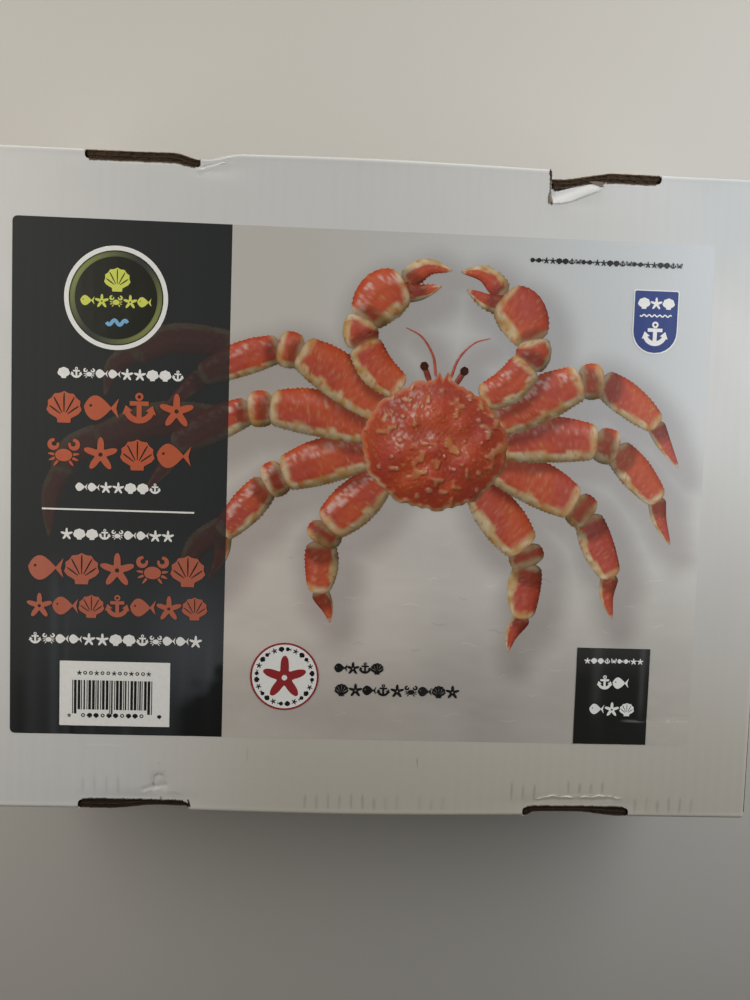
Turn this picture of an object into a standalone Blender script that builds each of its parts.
"""A two-piece corrugated carton: a deep lid that telescopes over a tray.

Both halves are the same kind of self-locking tray, the lid upside down. Each is one panel with four
walls. A long wall is folded back on itself over the rim, and tabs on its inner leaf lock into slots
along the panel's long edges. An end wall is one leaf, and its corner flaps are held between the two
leaves of the long walls. Metres, +Z up, the origin under the middle of the tray.
"""

import math

import bmesh
import bpy
from mathutils import Vector

# Board
BOARD = 0.0030
GAP = 0.0003
FOLD_RADIUS = 0.0026
FOLD_STEPS = 4

# Carton, outside
LENGTH = 0.4406
WIDTH = 0.3540
HEIGHT = 0.1100
LID_DEPTH = 0.0980
SWELL = 0.0018
SWELL_HALF_LENGTH = 0.1500
SIDE_CLEARANCE = 0.0014
LID_ON_TRAY = 0.0005

# Locking slots, tabs and corner flaps
SLOT_LENGTH = 0.0600
SLOT_CENTRE = 0.1230
SLOT_DEPTH = 2 * BOARD + 2 * GAP
TAB_LENGTH = 0.0570
EDGE_RECESS = 0.0006
TAB_RECESS = 0.0014
FLAP_LENGTH = 0.0520
FLAP_STEP_LENGTH = 0.0080
FLAP_STEP_POINTS = 5
SWELL_POINTS = 20

# Colours
WHITE_LINER = (0.62, 0.62, 0.60, 1.0)
BROWN_LINER = (0.33, 0.22, 0.13, 1.0)


def clear_scene():
    for obj in list(bpy.data.objects):
        bpy.data.objects.remove(obj, do_unlink=True)


def new_collection(name):
    collection = bpy.data.collections.new(name)
    bpy.context.scene.collection.children.link(collection)
    return collection


def new_material(name, colour, roughness):
    material = bpy.data.materials.new(name)
    material.use_nodes = True
    surface = material.node_tree.nodes["Principled BSDF"]
    surface.inputs["Base Color"].default_value = colour
    surface.inputs["Roughness"].default_value = roughness
    surface.inputs["Metallic"].default_value = 0.0
    return material


def plate(name, outline, low, high, collection):
    """A level plate with a plan outline, from the height low to the height high."""
    curve = bpy.data.curves.new(name, "CURVE")
    curve.dimensions = "2D"
    curve.fill_mode = "BOTH"
    curve.extrude = (high - low) / 2
    spline = curve.splines.new("POLY")
    spline.points.add(len(outline) - 1)
    for point, (x, y) in zip(spline.points, outline):
        point.co = (x, y, 0.0, 1.0)
    spline.use_cyclic_u = True
    flat = bpy.data.objects.new(name + "_outline", curve)
    bpy.context.scene.collection.objects.link(flat)
    graph = bpy.context.evaluated_depsgraph_get()
    mesh = bpy.data.meshes.new_from_object(flat.evaluated_get(graph))
    bpy.data.objects.remove(flat, do_unlink=True)
    shape = bmesh.new()
    shape.from_mesh(mesh)
    bmesh.ops.remove_doubles(shape, verts=shape.verts, dist=1e-6)
    bmesh.ops.recalc_face_normals(shape, faces=shape.faces)
    shape.to_mesh(mesh)
    shape.free()
    mesh.name = name
    obj = bpy.data.objects.new(name, mesh)
    obj.location = (0.0, 0.0, (low + high) / 2)
    collection.objects.link(obj)
    return obj


def block(name, low, high, collection):
    """An upright box between two opposite corners."""
    bpy.ops.mesh.primitive_cube_add(size=1.0)
    obj = bpy.context.object
    obj.name = name
    obj.location = (Vector(low) + Vector(high)) / 2
    obj.scale = Vector(high) - Vector(low)
    bpy.ops.object.transform_apply(location=False, rotation=False, scale=True)
    for owner in list(obj.users_collection):
        owner.objects.unlink(obj)
    collection.objects.link(obj)
    return obj


def join_or_cut(obj, helper, operation):
    """A Boolean whose helper stays out of the render.

    The exact solver leaves open edges along the long, thin triangles of these plates.
    """
    helper.hide_render = True
    helper.display_type = "WIRE"
    modifier = obj.modifiers.new(helper.name, "BOOLEAN")
    modifier.operation = operation
    modifier.solver = "MANIFOLD"
    modifier.object = helper


def round_fold(obj, outer_face_up):
    """Rounds the outer edges of a panel, where the board folds down into the walls."""
    shape = bmesh.new()
    shape.from_mesh(obj.data)
    level = max(v.co.z for v in shape.verts)
    if not outer_face_up:
        level = -level
    rim = [
        edge
        for edge in shape.edges
        if all(abs(v.co.z - level) < 1e-6 for v in edge.verts)
        and len({round(face.normal.z, 3) for face in edge.link_faces}) == 2
    ]
    bmesh.ops.bevel(
        shape,
        geom=rim,
        offset=FOLD_RADIUS,
        segments=FOLD_STEPS,
        profile=0.5,
        affect="EDGES",
        clamp_overlap=True,
    )
    shape.to_mesh(obj.data)
    shape.free()


class HalfCarton:
    """The sizes of the lid or the tray, and the heights between its panel and its rim."""

    def __init__(self, name, length, width, swell, panel_face, rim):
        self.name = name
        self.half_length = length / 2
        self.half_width = width / 2
        self.swell = swell
        self.panel_face = panel_face
        self.rim = rim
        self.inward = math.copysign(1.0, rim - panel_face)

    def depth(self, distance):
        """The height that lies a distance inward from the panel's outer face."""
        return self.panel_face + self.inward * distance

    def swell_at(self, x):
        """How far the long sides belly out between the slots."""
        if abs(x) >= SWELL_HALF_LENGTH:
            return 0.0
        return self.swell * math.cos(math.pi * x / (2 * SWELL_HALF_LENGTH)) ** 2

    def flap_room_at(self, x):
        """How far the inner leaf stands off the outer leaf to pass the corner flap."""
        flap_end = self.half_length - BOARD - GAP - FLAP_LENGTH - 2 * GAP
        past_start = abs(x) - (flap_end - FLAP_STEP_LENGTH)
        share = min(max(past_start / FLAP_STEP_LENGTH, 0.0), 1.0)
        return (BOARD + GAP) * share * share * (3 - 2 * share)

    def stations(self, half_length):
        """X values along a long side, closer together where it bends."""
        flap_end = self.half_length - BOARD - GAP - FLAP_LENGTH - 2 * GAP
        values = [
            SWELL_HALF_LENGTH * (2 * i / SWELL_POINTS - 1) for i in range(SWELL_POINTS + 1)
        ]
        for i in range(FLAP_STEP_POINTS + 1):
            x = flap_end - FLAP_STEP_LENGTH * (1 - i / FLAP_STEP_POINTS)
            values += [x, -x]
        values += [half_length, -half_length]
        return sorted(x for x in values if abs(x) <= half_length)

    def leaf_outline(self, half_length, outer_offset, inner_offset, side):
        """The plan of a leaf that runs along a long side between two offsets from its outer face."""
        xs = self.stations(half_length)
        outer = [(x, side * (self.half_width + self.swell_at(x) - outer_offset(x))) for x in xs]
        inner = [(x, side * (self.half_width + self.swell_at(x) - inner_offset(x))) for x in xs]
        return outer + inner[::-1]

    def panel_outline(self):
        xs = self.stations(self.half_length)
        back = [(x, self.half_width + self.swell_at(x)) for x in xs]
        front = [(x, -y) for x, y in back]
        return front + back[::-1]


def between(height_a, height_b):
    return min(height_a, height_b), max(height_a, height_b)


def build_panel(half, parts, cutters):
    """The broad panel, with a locking slot cut in from its long edges near each corner."""
    low, high = between(half.panel_face, half.depth(BOARD))
    panel = plate(half.name + "_panel", half.panel_outline(), low, high, parts)
    round_fold(panel, outer_face_up=half.inward < 0)
    for side in (-1, 1):
        for end in (-1, 1):
            inner_y = side * (half.half_width - SLOT_DEPTH)
            outer_y = side * (half.half_width + half.swell + BOARD)
            low_y, high_y = between(inner_y, outer_y)
            middle = end * SLOT_CENTRE
            cutter = block(
                f"{half.name}_slot_cutter",
                (middle - SLOT_LENGTH / 2, low_y, low - BOARD),
                (middle + SLOT_LENGTH / 2, high_y, high + BOARD),
                cutters,
            )
            join_or_cut(panel, cutter, "DIFFERENCE")
    return panel


def trim_between_tongues(half, leaf, tongue_length, side, cutters):
    """Cuts a leaf back to the panel's inner face, except where it stands in a slot."""
    edge = SLOT_CENTRE - tongue_length / 2
    far = SLOT_CENTRE + tongue_length / 2
    reach = half.half_length + BOARD
    low_y, high_y = between(side * (half.half_width - 5 * BOARD), side * (half.half_width + 3 * BOARD))
    low_z, high_z = between(half.depth(-BOARD), half.depth(BOARD + GAP))
    for start, stop in ((-reach, -far), (-edge, edge), (far, reach)):
        cutter = block(
            f"{half.name}_trim_cutter", (start, low_y, low_z), (stop, high_y, high_z), cutters
        )
        join_or_cut(leaf, cutter, "DIFFERENCE")


def build_long_wall(half, side_name, side, parts, cutters):
    """The outer leaf with its rolled rim, and the inner leaf with its locking tabs."""
    outer_low, outer_high = between(half.rim, half.depth(EDGE_RECESS))
    outer = plate(
        f"{half.name}_{side_name}_outer_wall",
        half.leaf_outline(half.half_length, lambda x: 0.0, lambda x: BOARD, side),
        outer_low,
        outer_high,
        parts,
    )
    inner_half_length = half.half_length - BOARD - GAP
    rim_low, rim_high = between(half.rim, half.rim - half.inward * BOARD)
    roll = plate(
        f"{half.name}_{side_name}_rim_roll",
        half.leaf_outline(
            inner_half_length,
            lambda x: BOARD / 2,
            lambda x: 2 * BOARD + GAP + half.flap_room_at(x),
            side,
        ),
        rim_low,
        rim_high,
        cutters,
    )
    join_or_cut(outer, roll, "UNION")
    trim_between_tongues(half, outer, SLOT_LENGTH - 2 * GAP, side, cutters)

    inner_low, inner_high = between(
        half.rim - half.inward * (BOARD + GAP), half.depth(TAB_RECESS)
    )
    inner = plate(
        f"{half.name}_{side_name}_inner_wall",
        half.leaf_outline(
            inner_half_length,
            lambda x: BOARD + GAP + half.flap_room_at(x),
            lambda x: 2 * BOARD + GAP + half.flap_room_at(x),
            side,
        ),
        inner_low,
        inner_high,
        parts,
    )
    trim_between_tongues(half, inner, TAB_LENGTH, side, cutters)
    return outer, inner


def build_end_wall(half, end_name, end, parts):
    """A single leaf that fits between the long walls."""
    low_x, high_x = between(end * half.half_length, end * (half.half_length - BOARD))
    low_z, high_z = between(half.rim, half.depth(BOARD + GAP))
    reach = half.half_width - BOARD - GAP
    return block(
        f"{half.name}_{end_name}_end_wall", (low_x, -reach, low_z), (high_x, reach, high_z), parts
    )


def build_corner_flap(half, names, side, end, parts):
    """The end wall's flap, held between the two leaves of a long wall."""
    start = half.half_length - BOARD - GAP
    low_x, high_x = between(end * start, end * (start - FLAP_LENGTH))
    outer_y = half.half_width - BOARD - GAP
    low_y, high_y = between(side * outer_y, side * (outer_y - BOARD))
    low_z, high_z = between(
        half.rim - half.inward * (BOARD + GAP), half.depth(BOARD + GAP)
    )
    return block(
        f"{half.name}_{names}_flap", (low_x, low_y, low_z), (high_x, high_y, high_z), parts
    )


def build_half(half, outside, inside, parts, cutters):
    white = [build_panel(half, parts, cutters)]
    brown = []
    for side_name, side in (("front", -1), ("back", 1)):
        outer, inner = build_long_wall(half, side_name, side, parts, cutters)
        white += [outer, inner]
        for end_name, end in (("left", -1), ("right", 1)):
            brown.append(
                build_corner_flap(half, f"{side_name}_{end_name}", side, end, parts)
            )
    for end_name, end in (("left", -1), ("right", 1)):
        white.append(build_end_wall(half, end_name, end, parts))
    for obj in white:
        obj.data.materials.append(outside)
    for obj in brown:
        obj.data.materials.append(inside)
    return white + brown


def hang_from_joint(objects, name, height):
    """Parents the lid to an empty on the line along which it lifts."""
    empty = bpy.data.objects.new(name, None)
    empty.location = (0.0, 0.0, height)
    bpy.context.scene.collection.objects.link(empty)
    bpy.context.view_layer.update()
    for obj in objects:
        obj.parent = empty
        obj.matrix_parent_inverse = empty.matrix_world.inverted()


def main():
    clear_scene()
    parts = new_collection("carton")
    cutters = new_collection("cutters")
    outside = new_material("white_board", WHITE_LINER, 0.55)
    inside = new_material("brown_board", BROWN_LINER, 0.85)

    lid = HalfCarton("lid", LENGTH, WIDTH, SWELL, HEIGHT, HEIGHT - LID_DEPTH)
    leaves_at_corner = 3 * BOARD + 2 * GAP
    tray = HalfCarton(
        "tray",
        LENGTH - 2 * (BOARD + SIDE_CLEARANCE),
        WIDTH - 2 * (leaves_at_corner + SIDE_CLEARANCE),
        0.0,
        0.0,
        HEIGHT - BOARD - LID_ON_TRAY,
    )
    build_half(tray, outside, inside, parts, cutters)
    lid_objects = build_half(lid, outside, inside, parts, cutters)
    hang_from_joint(lid_objects, "lid_lift_axis", HEIGHT - LID_DEPTH)


main()
